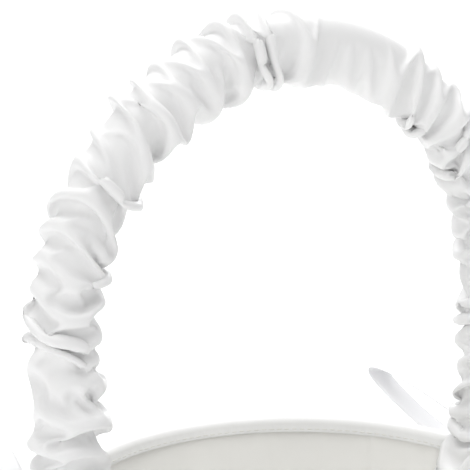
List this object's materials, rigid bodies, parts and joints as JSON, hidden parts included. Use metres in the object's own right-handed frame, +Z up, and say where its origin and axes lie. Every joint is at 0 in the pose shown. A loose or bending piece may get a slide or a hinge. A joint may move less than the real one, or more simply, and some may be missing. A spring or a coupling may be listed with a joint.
{
  "type": "flower girl basket",
  "caption": "Round satin-covered basket with tapered padded wall, bound rim, fixed arched handle in a gathered satin sleeve, and ribbon bows at the handle's feet.",
  "frame": {"origin": "centre of the round underside, on the surface that the basket stands on", "axes": "+Z up, +X from the centre towards the right foot of the handle, +Y across the handle, away from the front"},
  "size_m": [0.2046, 0.1558, 0.2508],
  "materials": {
    "shell_board": "matte",
    "wadding": "matte",
    "foam": "matte",
    "cover_satin": "satin",
    "base_satin": "matte",
    "lining_satin": "satin",
    "binding_satin": "satin",
    "sleeve_satin": "satin",
    "ribbon": "satin",
    "wire": "satin",
    "tab_steel": "satin",
    "rivet_steel": "satin"
  },
  "bodies": {
    "root": {"side_shell": "shell_board", "base_board": "shell_board", "side_wadding": "wadding", "outer_cover": "cover_satin", "base_cover": "base_satin", "side_lining": "lining_satin", "base_pad_foam": "foam", "base_pad_cover": "lining_satin", "rim_binding": "binding_satin", "handle_wire": "wire", "handle_foam": "foam", "handle_sleeve": "sleeve_satin", "handle_tab_left": "tab_steel", "handle_tab_right": "tab_steel", "handle_rivets": "rivet_steel", "rivet_washers": "rivet_steel", "bow_loops_left": "ribbon", "bow_tails_left": "ribbon", "bow_wrap_left": "ribbon", "bow_loops_right": "ribbon", "bow_tails_right": "ribbon", "bow_wrap_right": "ribbon"}
  },
  "joints": []
}
